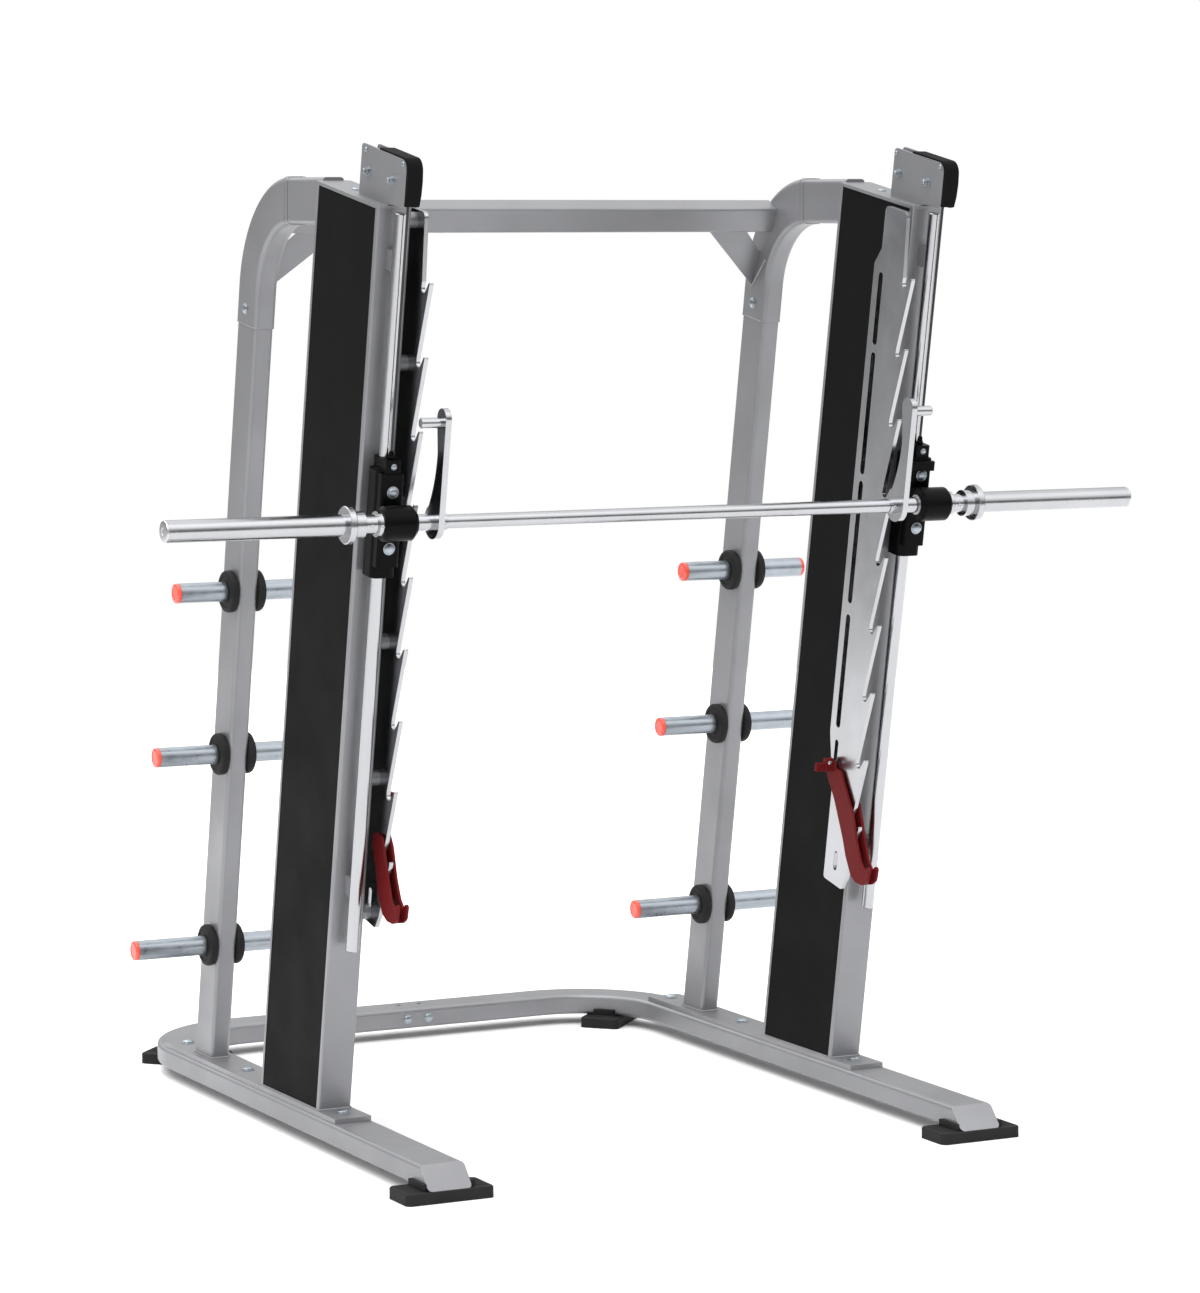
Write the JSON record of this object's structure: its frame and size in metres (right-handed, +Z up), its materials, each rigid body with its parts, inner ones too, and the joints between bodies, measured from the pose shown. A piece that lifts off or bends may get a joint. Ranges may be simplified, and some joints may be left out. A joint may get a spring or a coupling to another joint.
{
  "type": "smith machine",
  "caption": "Free-standing smith machine: counterbalanced bar on inclined guide rods between two columns, with hook racks and plate horns.",
  "frame": {"origin": "on the floor, under the middle of the machine's box", "axes": "+Z up, +X to the machine's right side as seen by someone facing it from the open front, +Y to the rear"},
  "size_m": [2.512, 1.872, 2.3319],
  "materials": {
    "frame_paint": "satin silver-grey powder coat",
    "panel_black": "satin black powder coat",
    "black_casting": "satin black",
    "stop_red": "dark red powder coat",
    "chrome": "polished",
    "zinc": "zinc plated",
    "steel": "brushed",
    "rubber": "matt",
    "cap_red": "gloss",
    "nylon_black": "matt",
    "cast_weight": "painted",
    "wire_rope": "black sheath over steel rope"
  },
  "bodies": {
    "root": {"base_runner_left": "frame_paint", "base_runner_right": "frame_paint", "base_plates": "frame_paint", "rear_upright_left": "frame_paint", "rear_upright_right": "frame_paint", "elbow_left": "frame_paint", "elbow_right": "frame_paint", "top_stubs": "frame_paint", "crossbeam": "frame_paint", "gussets": "frame_paint", "column_front_channels": "frame_paint", "column_rear_channels": "frame_paint", "column_caps": "frame_paint", "pulley_brackets": "frame_paint", "rack_standoffs": "frame_paint", "rod_mounts": "frame_paint", "horn_posts": "zinc", "frame_bolts": "zinc", "bracket_fasteners": "zinc", "pulley_axles": "zinc", "base_splice": "steel", "base_feet": "rubber", "horn_bumpers": "rubber", "horn_caps": "cap_red", "column_outer_panel_left": "panel_black", "column_outer_panel_right": "panel_black", "column_inner_panels": "panel_black", "pulley_guards": "panel_black", "guide_rods": "chrome", "rack_left": "chrome", "rack_right": "chrome", "cable_over_pulleys": "wire_rope", "cable_weight_runs": "wire_rope"},
    "carriage": {"carriage_housing_left": "black_casting", "carriage_housing_right": "black_casting", "linear_bearings": "steel", "bar_bearings": "steel", "carriage_bolts": "zinc", "cable_front_runs": "wire_rope"},
    "bar": {"bar_shaft": "chrome", "bar_sleeves": "chrome", "sleeve_collars": "chrome", "bar_collars": "chrome", "hook_lever_left": "chrome", "hook_lever_right": "chrome", "hook_pegs": "chrome", "sleeve_caps": "nylon_black"},
    "counterweights": {"counterweights": "cast_weight"},
    "front_pulley_left": {"front_pulley_left": "nylon_black"},
    "rear_pulley_left": {"rear_pulley_left": "nylon_black"},
    "stop_lock_left": {"stop_handle_left": "stop_red"},
    "stop_left": {"stop_plates_left": "stop_red", "stop_pin_left": "chrome"},
    "front_pulley_right": {"front_pulley_right": "nylon_black"},
    "rear_pulley_right": {"rear_pulley_right": "nylon_black"},
    "stop_lock_right": {"stop_handle_right": "stop_red"},
    "stop_right": {"stop_plates_right": "stop_red", "stop_pin_right": "chrome"}
  },
  "joints": [
    {"name": "carriage_slide", "type": "slide", "parent": "root", "child": "carriage", "axis": [0, -0.1668, 0.986], "range_m": [-0.674, 0.337], "deforming": ["cable_front_runs"]},
    {"name": "bar_turn", "type": "hinge", "parent": "carriage", "child": "bar", "pos_m": [0, -0.67098, 1.48763], "axis": [-1, 0, 0], "range_deg": [0, 22]},
    {"name": "counterweight_slide", "type": "slide", "parent": "root", "child": "counterweights", "axis": [0, -0.1668, 0.986], "range_m": [-0.34, 0.68], "deforming": ["cable_weight_runs"]},
    {"name": "front_pulley_left_spin", "type": "hinge", "parent": "root", "child": "front_pulley_left", "pos_m": [-0.692, -0.68456, 2.24852], "axis": [1, 0, 0], "range_deg": [-806.6, 806.6]},
    {"name": "rear_pulley_left_spin", "type": "hinge", "parent": "root", "child": "rear_pulley_left", "pos_m": [-0.692, -0.55639, 2.2702], "axis": [1, 0, 0], "range_deg": [-1401.5, 1401.5]},
    {"name": "stop_left_lift", "type": "slide", "parent": "root", "child": "stop_lock_left", "axis": [0, -0.1668, 0.986], "range_m": [0, 0.018]},
    {"name": "stop_left_swing", "type": "hinge", "parent": "stop_lock_left", "child": "stop_left", "pos_m": [-0.6255, -0.3623, 0.82888], "axis": [-1, 0, 0], "range_deg": [0, 10]},
    {"name": "front_pulley_right_spin", "type": "hinge", "parent": "root", "child": "front_pulley_right", "pos_m": [0.692, -0.68456, 2.24852], "axis": [1, 0, 0], "range_deg": [-806.6, 806.6]},
    {"name": "rear_pulley_right_spin", "type": "hinge", "parent": "root", "child": "rear_pulley_right", "pos_m": [0.692, -0.55639, 2.2702], "axis": [1, 0, 0], "range_deg": [-1401.5, 1401.5]},
    {"name": "stop_right_lift", "type": "slide", "parent": "root", "child": "stop_lock_right", "axis": [0, -0.1668, 0.986], "range_m": [0, 0.018]},
    {"name": "stop_right_swing", "type": "hinge", "parent": "stop_lock_right", "child": "stop_right", "pos_m": [0.6255, -0.3623, 0.82888], "axis": [-1, 0, 0], "range_deg": [0, 10]}
  ],
  "couplings": [
    {"joint": "counterweight_slide", "follows": "carriage_slide", "ratio": -1},
    {"joint": "front_pulley_left_spin", "follows": "carriage_slide", "rad_per_m": -20.704},
    {"joint": "rear_pulley_left_spin", "follows": "carriage_slide", "rad_per_m": -35.971},
    {"joint": "stop_left_swing", "follows": "stop_left_lift", "rad_per_m": 9.5},
    {"joint": "front_pulley_right_spin", "follows": "carriage_slide", "rad_per_m": -20.704},
    {"joint": "rear_pulley_right_spin", "follows": "carriage_slide", "rad_per_m": -35.971},
    {"joint": "stop_right_swing", "follows": "stop_right_lift", "rad_per_m": 9.5}
  ]
}
